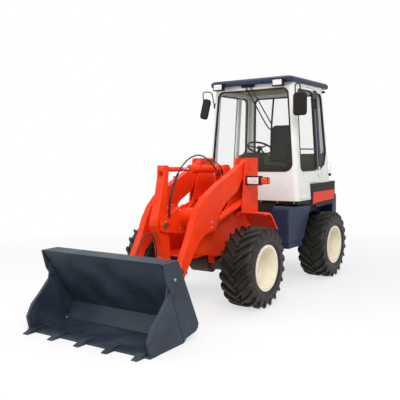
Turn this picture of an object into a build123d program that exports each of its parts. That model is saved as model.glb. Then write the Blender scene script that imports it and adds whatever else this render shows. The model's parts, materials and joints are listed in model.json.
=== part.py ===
from build123d import *
import os
from math import cos, hypot, pi, radians, sin, tan

# Compact articulated wheel loader with a multi-purpose bucket, at real size.
# Millimetres. +X is the machine's left, the front faces -Y, +Z is up, the ground is z = 0.
# Inside this script y is measured from the front axle. MIDDLE_Y is taken off every
# solid when it is written, so that the origin is the middle of the footprint.

# ---- driving dimensions -------------------------------------------------------------
WHEELBASE = 2034.0
TYRE_R = 460.0
TRACK_X = 678.0             # wheel centre plane
TYRE_HALF_WIDTH = 192.0
RIM_R = 262.0
BUCKET_FRONT_Y = -2106.0    # tooth tips
MACHINE_REAR_Y = 2760.0     # back of the counterweight
MIDDLE_Y = (BUCKET_FRONT_Y + MACHINE_REAR_Y) / 2
STEER_Y = 1000.0            # articulation pin
PIN_CLEAR = 0.05

# pins and joint points, (y, z)
BOOM_PIN = (450.0, 1580.0)
LIFT_BASE = (500.0, 1200.0)
LIFT_EYE = (-360.0, 955.0)
TILT_BASE = (435.0, 1556.0)
TILT_EYE = (-766.0, 1579.0)
LEVER_PIN = (-850.0, 985.0)
LINK_PIN = (-880.0, 434.0)
BUCKET_PIN = (-1026.0, 325.0)
EAR_PIN = (-1195.0, 347.0)
JAW_PIN = (-1641.0, 621.0)
JAW_BASE = (-1330.0, 200.0)
JAW_EYE = (-1500.0, 655.0)


# ---- helpers ------------------------------------------------------------------------
def prism(points, way):
    """Solid from a flat outline of 3-D points, drawn out along the vector way."""
    way = Vector(*way)
    return extrude(make_face(Polyline(*points, close=True)), amount=way.length, dir=way.normalized())


def yz(points, x0, x1):
    """Plate with an outline of (y, z) points, from x0 to x1."""
    return prism([(x0, y, z) for y, z in points], (x1 - x0, 0, 0))


def xz(points, y0, y1):
    """Plate with an outline of (x, z) points, from y0 to y1."""
    return prism([(x, y0, z) for x, z in points], (0, y1 - y0, 0))


def xy(points, z0, z1):
    """Plate with an outline of (x, y) points, from z0 to z1."""
    return prism([(x, y, z0) for x, y in points], (0, 0, z1 - z0))


def block(x, y, z):
    """Box between the pairs x, y and z."""
    low = Vector(x[0], y[0], z[0])
    size = (x[1] - x[0], y[1] - y[0], z[1] - z[0])
    return Pos(low) * Box(*size, align=(Align.MIN, Align.MIN, Align.MIN))


def bar(start, end, radius):
    """Round bar between two points."""
    start = Vector(*start)
    way = Vector(*end) - start
    return Plane(start, z_dir=way) * Cylinder(radius, way.length, align=(Align.CENTER, Align.CENTER, Align.MIN))


def pin(point, radius, x0, x1):
    """Round bar across the machine at a (y, z) point."""
    return bar((x0, *point), (x1, *point), radius)


def pair(shape):
    """A shape on the left and its mirror image on the right."""
    return shape + mirror(shape, Plane.YZ)


def along(start, end, distance):
    """Point (y, z) on the line from start to end, at a distance from start."""
    length = hypot(end[0] - start[0], end[1] - start[1])
    share = distance / length
    return (start[0] + (end[0] - start[0]) * share, start[1] + (end[1] - start[1]) * share)


SIDE_VIEW = Plane((0, 0, 0), x_dir=(0, 1, 0), z_dir=(1, 0, 0))        # outlines of (y, z), drawn out along +X
FRONT_VIEW = Plane((0, 0, 0), x_dir=(1, 0, 0), z_dir=(0, -1, 0))      # outlines of (x, z), drawn out along -Y


def rounded(points, radii):
    """Flat face of an outline, each corner rounded by its own radius."""
    face = make_face(Polyline(*points, close=True))
    for corner, radius in zip(points, radii):
        if radius:
            face = fillet(face.vertices().sort_by_distance((*corner, 0))[0], radius)
    return face


def faceted(rings):
    """Solid with flat faces through rings of points, closed by a face at each end."""
    faces = [make_face(Polyline(*ring, close=True)) for ring in (rings[0], rings[-1])]
    for ring_a, ring_b in zip(rings, rings[1:]):
        for i in range(len(ring_a)):
            corners = (ring_a[i - 1], ring_a[i], ring_b[i], ring_b[i - 1])
            faces.append(make_face(Polyline(*corners, close=True)))
    return Solid(Shell([part.face() for part in faces]))


def arc_radii(points):
    """Arc at each inner point of a hose's route, as large as the runs beside it allow."""
    radii = []
    for a, b, c in zip(points, points[1:], points[2:]):
        before = Vector(*b) - Vector(*a)
        after = Vector(*c) - Vector(*b)
        turn = radians(before.get_angle(after))
        radii.append(0.45 * min(before.length, after.length) / tan(turn / 2))
    return radii


def hose(points, diameter):
    """Hose of straight runs joined by tangent arcs."""
    radii = arc_radii(points)
    path = FilletPolyline(*points, radius=radii)
    tube = sweep(Plane(path @ 0, z_dir=path % 0) * Circle(diameter / 2), path=path)
    share = tube.volume / (pi * (diameter / 2) ** 2 * path.length)
    print("hose radii", [round(radius) for radius in radii], "volume over section times length", round(share, 3))
    return tube


# ---- wheels -------------------------------------------------------------------------
HUB_X = 560.0               # face of the axle's hub
DISC_X = 640.0              # outer face of the wheel disc
RIM_OUT_X = 859.0
RIM_IN_X = 497.0
SPINDLE_R = 45.0


def ring(profile):
    """Ring turned about the wheel's axle from a profile of (x, radius) points."""
    outline = make_face(Polyline(*[(x, 0, r) for x, r in profile], close=True))
    return revolve(outline, axis=Axis.X)


LUGS = 21                   # lugs on each side of the tread
TYRE_FLATS = 21             # flats round the carcass
LUG_SLOPE = 0.6             # how far a lug's inner end leads its outer end, for its width
LUG_MIDDLE_X = 90.0
LUG_TOP = 454.4             # height of the flat top, so that its corners reach the tyre's radius
BORE_R = 252.6              # at the corners, so that the flats clear the rim


def turned(sections):
    """Closed many-sided body about the axle through (x, radius) sections."""
    step = 2 * pi / TYRE_FLATS
    return faceted([[(x, radius * cos(i * step), radius * sin(i * step)) for i in range(TYRE_FLATS)]
                    for x, radius in sections])


def lug():
    """One lug at the top of the tyre: a tapered bar that slants from the middle over the shoulder."""
    rings = []
    for z, inner_x, outer_x, half in ((350, -16, 186, 36), (LUG_TOP, -4, 184, 15)):
        inner_y = LUG_SLOPE * (inner_x - LUG_MIDDLE_X)
        outer_y = LUG_SLOPE * (outer_x - LUG_MIDDLE_X)
        rings.append([(inner_x, inner_y - half, z), (outer_x, outer_y - half, z),
                      (outer_x, outer_y + half, z), (inner_x, inner_y + half, z)])
    return faceted(rings)


def tyre():
    """Carcass with a bead recess on each side, a bore for the rim and two rows of chevron lugs."""
    half = TYRE_HALF_WIDTH
    body = turned([(-half, 345), (-170, 425), (170, 425), (half, 345)])
    bar_left = lug()
    bar_right = mirror(bar_left, Plane.YZ)
    step = 360 / LUGS
    bars = []
    for number in range(LUGS):
        bars.append(Rot(number * step, 0, 0) * bar_left)
        bars.append(Rot((number + 0.5) * step, 0, 0) * bar_right)
    body = body.fuse(*bars)
    recess = turned([(162, 258), (half + 2, 349)])
    body -= recess
    body -= mirror(recess, Plane.YZ)
    body -= turned([(-half - 5, BORE_R), (half + 5, BORE_R)])
    return Pos(TRACK_X, 0, 0) * body


def rim():
    profile = [
        (RIM_OUT_X, 232), (RIM_OUT_X, RIM_R), (RIM_OUT_X - 12, RIM_R), (RIM_OUT_X - 16, 249.5),
        (RIM_IN_X + 16, 249.5), (RIM_IN_X + 12, RIM_R), (RIM_IN_X, RIM_R), (RIM_IN_X, 238),
        (DISC_X - 14, 238), (DISC_X - 14, 150), (HUB_X + 5, 130), (HUB_X + 5, SPINDLE_R + PIN_CLEAR),
        (DISC_X + 30, SPINDLE_R + PIN_CLEAR), (DISC_X + 30, 80), (DISC_X, 90), (DISC_X, 215),
        (DISC_X + 30, 232),
    ]
    return ring(profile)


def wheels():
    tyre_solid = tyre()
    rim_solid = rim()
    nodes = {}
    for name, y, side in (("front_left", 0, 1), ("front_right", 0, -1),
                          ("rear_left", WHEELBASE, 1), ("rear_right", WHEELBASE, -1)):
        for part, solid in (("tyre_", tyre_solid), ("rim_", rim_solid)):
            nodes[part + name] = Pos(0, y, TYRE_R) * (solid if side > 0 else mirror(solid, Plane.YZ))
    return nodes


def axle(y):
    """Drive axle: a gear housing in the middle, two tubes, hub flanges and spindles."""
    housing = Pos(0, y, TYRE_R) * (Rot(0, 90, 0) * Cylinder(118, 260))
    nose = bar((0, y, TYRE_R), (0, y + (210 if y == 0 else -210), TYRE_R), 75)
    body = housing + nose
    for x0, x1, radius in ((120, 470, 78), (470, HUB_X, 125), (HUB_X, DISC_X + 20, SPINDLE_R)):
        for side in (1, -1):
            body += bar((side * x0, y, TYRE_R), (side * x1, y, TYRE_R), radius)
    return body


# ---- front frame --------------------------------------------------------------------
SIDE_IN = 250.0             # inner tower plates, also the frame's sides
SIDE_OUT = 275.0
OUTER_IN = 375.0            # outer tower plates
OUTER_OUT = 395.0
TOWER_BACK = 640.0


def front_frame():
    side = [(-570, 655), (-110, 560), (600, 560), (725, 500), (725, 900), (TOWER_BACK, 1100), (TOWER_BACK, 1690),
            (330, 1690), (300, 1500), (150, 1150), (-120, 930), (-470, 800), (-570, 720)]
    frame = yz(side, SIDE_IN, SIDE_OUT)
    outer = [(250, 1010), (TOWER_BACK, 1010), (TOWER_BACK, 1690), (360, 1690), (330, 1560)]
    frame += yz(outer, OUTER_IN, OUTER_OUT)
    frame += block((SIDE_IN, OUTER_OUT), (TOWER_BACK - 20, TOWER_BACK), (1010, 1690))
    frame += block((SIDE_IN, OUTER_OUT), (250, TOWER_BACK), (1005, 1020))
    frame += pin(BOOM_PIN, 30, SIDE_IN - 10, OUTER_OUT + 12)
    frame += pin(LIFT_BASE, 25, SIDE_IN, OUTER_OUT + 8)
    frame = pair(frame)
    frame += block((-SIDE_IN, SIDE_IN), (-560, 600), (600, 620))       # belly plate
    frame += block((-SIDE_IN, SIDE_IN), (-110, -90), (620, 900))       # front wall
    frame += block((-SIDE_IN, SIDE_IN), (TOWER_BACK - 20, TOWER_BACK), (560, 1450))      # back wall
    frame += block((-SIDE_IN, SIDE_IN), (200, TOWER_BACK - 20), (1180, 1200))            # deck under the cylinder
    cheek = [(330, 1200), (TOWER_BACK - 20, 1200), (TOWER_BACK - 20, 1450), (490, 1605), (400, 1610), (372, 1556)]
    for side_x in (45, -70):
        frame += yz(cheek, side_x, side_x + 25)
    frame += pin(TILT_BASE, 25, -75, 75)
    tongue = [(-200, 660), (200, 660), (95, 1000), (-95, 1000)]
    for z in (480, 860):
        plate = xy(tongue, z, z + 40) + Pos(0, STEER_Y, z) * Cylinder(95, 40, align=(Align.CENTER, Align.CENTER, Align.MIN))
        frame += plate - Pos(0, STEER_Y, z - 1) * Cylinder(35 + PIN_CLEAR, 42, align=(Align.CENTER, Align.CENTER, Align.MIN))
    frame += block((-SIDE_IN, SIDE_IN), (TOWER_BACK - 20, 690), (480, 900))
    # saddle that holds the axle
    for side in (1, -1):
        frame += block((side * 170 - 40, side * 170 + 40), (-100, 100), (470, 600))
    return frame - axle(0.0)


def front_fenders():
    profile = [(120, 1050), (250, 1050), (470, 800), (480, 808), (256, 1062), (120, 1062)]
    guard = yz(profile, SIDE_OUT + 125, 765)
    guard += block((OUTER_OUT + 5, OUTER_OUT + 20), (130, 250), (1010, 1062))
    guard += yz([(120, 1062), (120, 1030), (132, 1030), (132, 1062)], OUTER_OUT + 5, 765)
    return pair(guard)


def headlamps():
    lamp = block((OUTER_OUT + 10, 590), (330, 400), (1365, 1475))
    lamp += block((590, 690), (345, 400), (1380, 1460))
    lamp += block((OUTER_OUT, OUTER_OUT + 60), (400, 420), (1395, 1440))
    return pair(lamp)


# ---- boom ---------------------------------------------------------------------------
ARM_IN = 287.0
ARM_OUT = 363.0


def boom_arms():
    outline = [(510, 1640), (420, 1672), (100, 1525), (-270, 1378), (-490, 1268), (-620, 1155), (-710, 1030),
               (-790, 855), (-900, 680), (-1010, 480), (-1080, 380), (-1100, 300), (-1060, 250), (-990, 245),
               (-950, 330), (-900, 456), (-729, 674), (-598, 803), (-480, 870), (-400, 880), (-300, 895), (-255, 960),
               (-215, 1060), (-50, 1190), (190, 1300), (380, 1500), (480, 1500), (530, 1570)]
    arm = yz(outline, ARM_IN, ARM_OUT)
    arm -= pin(BOOM_PIN, 30 + PIN_CLEAR, ARM_IN - 1, ARM_OUT + 1)
    arm -= pin(BUCKET_PIN, 25 + PIN_CLEAR, ARM_IN - 1, ARM_OUT + 1)
    arm -= Pos(0, *LIFT_EYE) * block((ARM_IN + 13, ARM_OUT - 13), (-105, 250), (-130, 165))
    return pair(arm) + bar(BOOM_HOSE[-1], BOOM_HOSE_END, FITTING_R)


CROSS_AT = (-480.0, 1040.0)


def boom_cross():
    """Tube between the arms with a forked bracket that carries the bell crank."""
    beam = pin(CROSS_AT, 110, -ARM_IN, ARM_IN) - pin(CROSS_AT, 95, -ARM_IN - 1, ARM_IN + 1)
    cheek = [(-420, 1165), (-500, 1185), (-700, 1115), (-900, 1060), (-925, 1000), (-910, 930), (-850, 910),
             (-540, 865), (-430, 900)]
    for x0 in (57, -77):
        beam += yz(cheek, x0, x0 + 20) - pin(CROSS_AT, 109, x0 - 1, x0 + 21)
    beam += block((-77, 77), (-640, -580), (910, 930))
    beam += block((77, 120), (-815, -785), (1000, 1060))                # hose fitting
    beam -= pin(LEVER_PIN, 30 + PIN_CLEAR, -90, 90)
    return beam


def lever_pin():
    return pin(LEVER_PIN, 30, -92, 92) - pin(LEVER_PIN, 12, -93, 93)


def tilt_lever():
    """Bell crank between the cheeks of the boom's bracket, forked at both ends."""
    outline = [(-800, 1622), (-812, 1485), (-870, 1256), (-948, 1046), (-958, 985), (-940, 923), (-880, 780), (-862, 640),
               (-932, 480), (-930, 400), (-880, 375), (-828, 395), (-722, 587), (-740, 884), (-775, 1105), (-741, 1474),
               (-722, 1590), (-735, 1622)]
    lever = yz(outline, -50, 50)
    lever -= pin(LEVER_PIN, 30 + PIN_CLEAR, -51, 51)
    lever -= block((-28, 28), (-860, -600), (1505, 1660))
    lever -= pin(TILT_EYE, 62, -28, 28)
    lever -= block((-28, 28), (-1000, -600), (300, 530))
    lever -= pin(LINK_PIN, 22 + PIN_CLEAR, -51, 51)
    return lever


def link_pin():
    return pin(LINK_PIN, 22, -56, 56) - pin(LINK_PIN, 9, -57, 57)


def bucket_link():
    body = pin(LINK_PIN, 45, -23, 23) + pin(EAR_PIN, 42, -23, 23)
    y0, z0 = LINK_PIN
    y1, z1 = EAR_PIN
    length = hypot(y1 - y0, z1 - z0)
    across = ((z1 - z0) / length * 34, -(y1 - y0) / length * 34)
    body += yz([(y0 + across[0], z0 + across[1]), (y1 + across[0], z1 + across[1]),
                (y1 - across[0], z1 - across[1]), (y0 - across[0], z0 - across[1])], -23, 23)
    body -= pin(LINK_PIN, 22 + PIN_CLEAR, -30, 30)
    return body


def cylinder_barrel(base, eye, radius, length, x):
    """Barrel with an eye on the base pin, pointing at the rod's eye."""
    body = bar((x, *along(base, eye, radius / 2)), (x, *along(base, eye, length)), radius)
    body -= bar((x, *along(base, eye, radius + 30)), (x, *along(base, eye, length - 30)), radius - 8)
    body += bar((x, *along(base, eye, length - 30)), (x, *along(base, eye, length)), radius + 5)
    return body


def bored_eye(point, radius, bore, x0, x1):
    return pin(point, radius, x0, x1) - pin(point, bore, x0 - 1, x1 + 1)


LIFT_X = 325.0
LIFT_R = 42.0
LIFT_ROD_R = 22.0
LIFT_BARREL = 735.0


def lift_barrels():
    body = cylinder_barrel(LIFT_BASE, LIFT_EYE, LIFT_R, LIFT_BARREL, LIFT_X)
    body += pin(LIFT_BASE, 46, LIFT_X - 22, LIFT_X + 22)
    body -= pin(LIFT_BASE, 25 + PIN_CLEAR, LIFT_X - 60, LIFT_X + 60)
    reach = hypot(LIFT_EYE[0] - LIFT_BASE[0], LIFT_EYE[1] - LIFT_BASE[1])
    body -= bar((LIFT_X, *along(LIFT_BASE, LIFT_EYE, LIFT_BARREL - 31)),
                (LIFT_X, *along(LIFT_BASE, LIFT_EYE, reach)), LIFT_ROD_R + PIN_CLEAR)
    return pair(body)


def lift_rods():
    rod = bar((LIFT_X, *along(LIFT_BASE, LIFT_EYE, 200)), (LIFT_X, *along(LIFT_EYE, LIFT_BASE, 30)), LIFT_ROD_R)
    rod += pin(LIFT_EYE, 42, LIFT_X - 20, LIFT_X + 20)
    return pair(rod)


TILT_R = 45.0
TILT_BARREL = 700.0
TILT_ROD_R = 20.0


def tilt_barrel():
    ports = bar(TILT_HOSE_START, TILT_HOSE_ROUTE[0], 11) + bar(TILT_HOSE_END, TILT_HOSE_ROUTE[-1], 11)
    ports -= bar((0, *along(TILT_BASE, TILT_EYE, 60)), (0, *TILT_EYE), TILT_R - 4)
    body = cylinder_barrel(TILT_BASE, TILT_EYE, TILT_R, TILT_BARREL, 0) + ports
    body += pin(TILT_BASE, 48, -38, 38)
    body -= pin(TILT_BASE, 25 + PIN_CLEAR, -60, 60)
    body -= bar((0, *along(TILT_BASE, TILT_EYE, TILT_BARREL - 31)), (0, *TILT_EYE), TILT_ROD_R + PIN_CLEAR)
    return body


def tilt_rod():
    rod = bar((0, *along(TILT_BASE, TILT_EYE, 300)), (0, *along(TILT_EYE, TILT_BASE, 120)), TILT_ROD_R)
    rod += bar((0, *along(TILT_EYE, TILT_BASE, 30)), (0, *along(TILT_EYE, TILT_BASE, 125)), 26)
    rod += pin(TILT_EYE, 42, -23, 23)
    return rod


HOSE = 16.0                 # outer diameter of the long hoses
TILT_HOSE = 12.0
FITTING_R = 13.0
BOOM_HOSE = [(103, -800, 1060), (103, -803, 1165), (109, -776, 1320), (118, -700, 1472), (120, -612, 1592),
             (126, -475, 1690), (150, -325, 1737), (181, -215, 1708), (212, -128, 1632), (235, -60, 1550),
             (261, -20, 1490)]
BOOM_HOSE_END = (289, 23, 1425)
TILT_HOSE_START = (0, -120, 1566)
TILT_HOSE_ROUTE = [(38, -82, 1619), (66, -54, 1658), (120, 10, 1668), (165, 70, 1635), (185, 125, 1575),
                   (175, 175, 1515), (140, 215, 1478), (95, 235, 1478), (56.5, 241, 1511)]
TILT_HOSE_END = (0, 250, 1559)
BUCKET_HOSE_START = (200, -1660, 608)
BUCKET_HOSE = [(200, -1609, 640), (200, -1550, 677.5), (196, -1470, 745), (195, -1410, 840), (197, -1365, 920),
               (202, -1290, 962), (210, -1215, 925), (217, -1182, 830), (221, -1180, 720), (225, -1205, 600),
               (227, -1238, 480)]
BUCKET_HOSE_END = (228, -1251, 432)


def boom_hose():
    return hose(BOOM_HOSE, HOSE)


def tilt_hose():
    return hose(TILT_HOSE_ROUTE, TILT_HOSE)


def bucket_hose():
    return hose(BUCKET_HOSE, HOSE)


# ---- bucket -------------------------------------------------------------------------
BUCKET_HALF = 785.0
PLATE = 14.0
BACK_HALF = 746.0           # the back plate ends where the jaw's arms pass
ARM_PLATE = (752.0, 766.0)
JAW_SPLIT = [(-1512, 8), (-1696, 508)]
TEETH_X = (-693.0, -347.0, 0.0, 347.0, 693.0)


def bucket_blade():
    """Back half: a slanted back plate and a lip between two cheeks, with ears for the boom."""
    cheek = [(-1795, 784), (-1579, 786), (-1266, 137), (-1278, 96), (-1310, 70), (-1466, 43), (-1502, 12),
             (-1690, 512), (-1745, 600)]
    blade = yz(cheek, BUCKET_HALF - PLATE, BUCKET_HALF)
    blade += pin(JAW_PIN, 22, 747, BUCKET_HALF + 8)
    for y, z in (JAW_BASE,):
        blade += yz([(y - 75, z - 60), (y + 30, z - 60), (y + 35, z + 5), (y, z + 38), (y - 40, z + 10)], 735, 747)
        blade += yz([(y - 75, z - 60), (y + 30, z - 60), (y + 35, z + 5), (y, z + 38), (y - 40, z + 10)], 640, 652)
        blade += pin((y, z), 18, 640, 747)
    blade = pair(blade)
    back = [(-1795, 784), (-1768, 786), (-1391, 190), (-1340, 110), (-1300, 90), (-1310, 70), (-1466, 43), (-1502, 12),
            (-1512, 30), (-1408, 183)]
    blade += yz(back, -BACK_HALF, BACK_HALF)
    blade += yz([(-1795, 784), (-1579, 786), (-1586, 770), (-1785, 768)], -BUCKET_HALF + 1, BUCKET_HALF - 1)
    blade += yz([(-1266, 137), (-1278, 96), (-1310, 70), (-1466, 43), (-1440, 62), (-1320, 90), (-1292, 106), (-1282, 137)],
                -BUCKET_HALF + 1, BUCKET_HALF - 1)
    ear = [(-1720, 696), (-1600, 640), (-1200, 420), (-1010, 375), (-975, 325), (-1000, 280), (-1060, 265),
           (-1300, 95), (-1345, 105), (-1399, 190)]
    for x0 in (ARM_IN - 27, ARM_OUT + 6):
        blade += pair(yz(ear, x0, x0 + 21))
    for x0 in (30, -54):
        blade += yz([(-1664, 612), (-1260, 440), (-1165, 392), (-1145, 347), (-1165, 305), (-1205, 295), (-1399, 190)],
                    x0, x0 + 24)
    blade += bar(BUCKET_HOSE_START, BUCKET_HOSE[0], FITTING_R)
    x, y, z = BUCKET_HOSE_END
    blade += bar(BUCKET_HOSE[-1], BUCKET_HOSE_END, FITTING_R) + block((x, ARM_IN - 26), (y - 17, y + 15), (z - 32, z))
    blade -= pin(BUCKET_PIN, 25 + PIN_CLEAR, -500, 500)
    blade -= pin(EAR_PIN, 22 + PIN_CLEAR, -60, 60)
    return blade


def bucket_pins():
    return pair(pin(BUCKET_PIN, 25, ARM_IN - 35, ARM_OUT + 35))


def bucket_jaw():
    """Front half, the jaw: side plates, floor, cutting edge with teeth, and hinge arms."""
    front = [(-1982, 2), (-2013, 147), (-1950, 262), (-1851, 349), (-1740, 460)]
    jaw = yz([(-1512, 8)] + front + [(-1696, 508)], 752, BUCKET_HALF)
    arm = [(-1512, 8)] + front + [(-1722, 560), (-1705, 640), (-1650, 676), (-1500, 700), (-1458, 660), (-1490, 618),
                                  (-1590, 588), (-1650, 520), (-1696, 508)]
    jaw += yz(arm, *ARM_PLATE)
    jaw -= pin(JAW_PIN, 22 + PIN_CLEAR, 700, BUCKET_HALF + 20)
    jaw = pair(jaw)
    jaw += yz([(-1990, 0), (-1512, 8), (-1517, 24), (-1900, 18), (-1990, 16)], -765, 765)
    jaw += block((-BUCKET_HALF, BUCKET_HALF), (-2000, -1890), (0, 18))
    tooth = [(BUCKET_FRONT_Y, 1), (BUCKET_FRONT_Y, 9), (-2010, 40), (-1900, 36), (-1890, 16), (-1990, 10), (-1995, 1)]
    for x in TEETH_X:
        jaw += yz(tooth, x - 32, x + 32)
    return jaw


JAW_X = 694.0


def jaw_barrels():
    body = cylinder_barrel(JAW_BASE, JAW_EYE, 32, 300, JAW_X)
    body += pin(JAW_BASE, 34, JAW_X - 36, JAW_X + 36)
    body -= pin(JAW_BASE, 18 + PIN_CLEAR, JAW_X - 60, JAW_X + 60)
    body -= bar((JAW_X, *along(JAW_BASE, JAW_EYE, 269)), (JAW_X, *JAW_EYE), 16 + PIN_CLEAR)
    return pair(body)


def jaw_rods():
    rod = bar((JAW_X, *along(JAW_BASE, JAW_EYE, 190)), (JAW_X, *along(JAW_EYE, JAW_BASE, 20)), 16)
    rod += pin(JAW_EYE, 32, JAW_X - 22, JAW_X + 22)
    rod += pin(JAW_EYE, 16, JAW_X - 34, 747)
    return pair(rod)


# ---- rear frame ---------------------------------------------------------------------
RAIL_IN = 200.0
RAIL_OUT = 300.0
BASE_Z = 1075.0             # underside of the cab's base
FLOOR_Z = 1120.0
DECK_Z = 1330.0             # top of the hood and fenders, the seat's platform
FENDER_Y = (1570.0, 2440.0)
BODY_HALF = 700.0
HOOD_HALF = 470.0
HOOD_FRONT = 1700.0
STEER_PIN_R = 35.0


def rear_chassis():
    rail = [(1095, 460), (1095, 1060), (1240, 1060), (1500, 780), (2560, 760), (2560, 600), (1700, 560), (1500, 460)]
    frame = pair(yz(rail, RAIL_OUT - 25, RAIL_OUT))
    frame += block((-400, 400), (1095, 1120), (460, 1075))
    for y, z0, z1 in ((1500, 470, 760), (2535, 600, 760)):
        frame += block((-RAIL_OUT, RAIL_OUT), (y, y + 25), (z0, z1))
    fork = [(-200, 1095), (200, 1095), (95, STEER_Y), (-95, STEER_Y)]
    for z in (455, 525, 835, 905):
        frame += xy(fork, z, z + 20)
        frame += bar((0, STEER_Y, z), (0, STEER_Y, z + 20), 95)
    frame += bar((0, STEER_Y, 440), (0, STEER_Y, 560), STEER_PIN_R)
    frame += bar((0, STEER_Y, 820), (0, STEER_Y, 940), STEER_PIN_R)
    for side in (1, -1):
        frame += block((side * 290 - 60, side * 290 + 60), (WHEELBASE - 100, WHEELBASE + 100), (470, 640))
    return frame - axle(WHEELBASE)


def engine_block():
    return block((-250, 250), (1760, 2330), (650, 1230))


def engine_hood():
    outer = block((-HOOD_HALF, HOOD_HALF), (HOOD_FRONT, 2600), (780, DECK_Z)) + block((-640, 640), (2450, 2600), (1155, DECK_Z))
    inner = block((-HOOD_HALF + 20, HOOD_HALF - 20), (HOOD_FRONT + 20, 2580), (779, DECK_Z - 20))
    hood = outer - inner
    hood -= block((-420, 420), (2570, 2601), (880, 1270))
    return hood


def rear_grille():
    frame = block((-420, 420), (2580, 2600), (880, 1270)) - block((-395, 395), (2579, 2601), (905, 1245))
    for i in range(11):
        z = 915 + i * 30
        frame += yz([(2582, z), (2598, z + 14), (2598, z + 20), (2582, z + 6)], -396, 396)
    return frame


def counterweight():
    plan = [(-640, 2510), (640, 2510), (640, MACHINE_REAR_Y), (-640, MACHINE_REAR_Y)]
    face = fillet(make_face(Polyline(*plan, close=True)).vertices().sort_by(Axis.Y)[-2:], 130)
    weight = extrude(Pos(0, 0, 640) * face, amount=510, dir=(0, 0, 1))
    level = [weight.faces().sort_by(Axis.Z)[end].edges().filter_by(lambda edge: edge.center().Y > 2520)
             for end in (0, -1)]
    weight = fillet(level[0] + level[1], 45)
    weight -= block((-HOOD_HALF, HOOD_HALF), (2500, 2620), (780, 1151))
    weight -= block((-RAIL_OUT, RAIL_OUT), (2500, 2560), (600, 781))
    weight -= block((-60, 60), (2670, MACHINE_REAR_Y + 1), (800, 1151))
    weight -= bar((0, 2715, 639), (0, 2715, 801), 16)
    return weight


def rear_fenders():
    """Moulded fender over each rear wheel: a deck, a front wall and a skirt."""
    y0, y1 = FENDER_Y
    skirt = [(y0, DECK_Z), (y1, DECK_Z), (y1 - 10, 1140), (y1 - 60, 1010), (y0 + 190, 1000), (y0 + 40, 1090)]
    guard = extrude(SIDE_VIEW.offset(BODY_HALF - 18) * rounded(skirt, (0, 12, 40, 50, 120, 60)), 18)
    guard += block((HOOD_HALF, BODY_HALF), (y0, y1), (DECK_Z - 25, DECK_Z))
    guard += block((HOOD_HALF, BODY_HALF), (y0, y0 + 18), (FLOOR_Z, DECK_Z))
    return pair(guard)


def side_covers():
    """Painted cover plate on the outside of each rear fender."""
    cover = [(1630, 1042), (1655, 1212), (2438, 1212), (2395, 1160), (2388, 1080), (1700, 1062)]
    plate = extrude(SIDE_VIEW.offset(BODY_HALF) * rounded(cover, (8, 10, 10, 20, 20, 30)), 7)
    return pair(plate)


def side_tanks():
    """Fuel and oil tanks below the doors, each with a step under it."""
    side = [(960, 1060), (1680, 1045), (1430, 590), (960, 590)]
    tank = extrude(SIDE_VIEW.offset(430) * rounded(side, (70, 40, 50, 15)), 230)
    tank = fillet(tank.faces().sort_by(Axis.X)[-1].edges(), 16)
    tank += block((470, 650), (985, 1400), (520, 592))
    tank += block((RAIL_OUT, 432), (1130, 1400), (690, 720))
    return pair(tank)


# ---- cab ----------------------------------------------------------------------------
CAB_TOP = 2680.0
CAB_LOW = (700.0, 1150.0, 2330.0)     # half width, front y, rear y at the floor
CAB_HIGH = (596.0, 1218.0, 2210.0)    # the same at the top
WALL = 45.0
GLASS = 6.0


def cab_body(inset):
    """Closed tapering body of the cab, drawn in all round by inset."""
    sections = []
    for (half, y0, y1), z in ((CAB_LOW, FLOOR_Z), (CAB_HIGH, CAB_TOP)):
        width = 2 * (half - inset)
        length = y1 - y0 - 2 * inset
        sections.append(Pos(0, (y0 + y1) / 2, z) * RectangleRounded(width, length, max(60 - inset, 10)))
    return loft(sections, ruled=True)


SCREEN = [(-625, 1500), (625, 1500), (535, 2600), (-535, 2600)]
DOOR = [(1240, 1140), (1290, 2625), (1880, 2625), (1880, 1345), (1560, 1345), (1530, 1140)]
DOOR_WINDOW = [(1290, 1500), (1330, 2590), (1840, 2590), (1840, 1500)]
QUARTER = [(1930, 1530), (1930, 2575), (2135, 2575), (2190, 1750), (2120, 1600)]
RIGHT_WINDOW = [(1300, 1505), (1336, 2575), (2135, 2575), (2190, 1750), (2120, 1600), (1850, 1505)]
REAR_WINDOW = [(-560, 1600), (560, 1600), (500, 2580), (-500, 2580)]


SEAL = 20.0                 # width of the rubber seal round a pane
# each window: the view that it is drawn in, its outline, its corner radii, where its cut starts and how deep it is
WINDOWS = {
    "windscreen": (FRONT_VIEW, SCREEN, (110, 110, 90, 90), -1290, 190),
    "rear": (FRONT_VIEW, REAR_WINDOW, (90, 90, 90, 90), -2400, 250),
    "right": (SIDE_VIEW, RIGHT_WINDOW, (70, 70, 80, 60, 60, 90), -800, 300),
    "quarter": (SIDE_VIEW, QUARTER, (50, 50, 80, 60, 60), 500, 300),
    "door": (SIDE_VIEW, DOOR_WINDOW, (80, 80, 80, 80), 500, 300),
}
FIXED = ("windscreen", "rear", "right", "quarter")


def window_cut(name, inset=0.0):
    """Prism through the wall with the outline of a window, drawn in by inset."""
    view, outline, radii, start, depth = WINDOWS[name]
    face = rounded(outline, radii)
    if inset:
        face = offset(face, -inset)
    return extrude(view.offset(start) * face, depth)


def cab_shell():
    shell = cab_body(0) - cab_body(WALL)
    shell -= block((-800, 800), (FENDER_Y[0], 2400), (1100, DECK_Z))
    for name in FIXED:
        shell -= window_cut(name)
    return shell


def window_seals():
    band = cab_body(-4) - cab_body(24)
    rings = [band & (window_cut(name) - window_cut(name, SEAL)) for name in FIXED]
    door = band & (window_cut("door") - window_cut("door", SEAL))
    return {"window_seals": rings[0] + rings[1:], "door_seal": door}


FRONT_CORNER = [(1100, 1100), (1206, 1100), (1274, 2700), (1100, 2700)]
REAR_CORNER = [(2276, 1100), (2400, 1100), (2400, 2700), (2154, 2700)]


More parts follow.
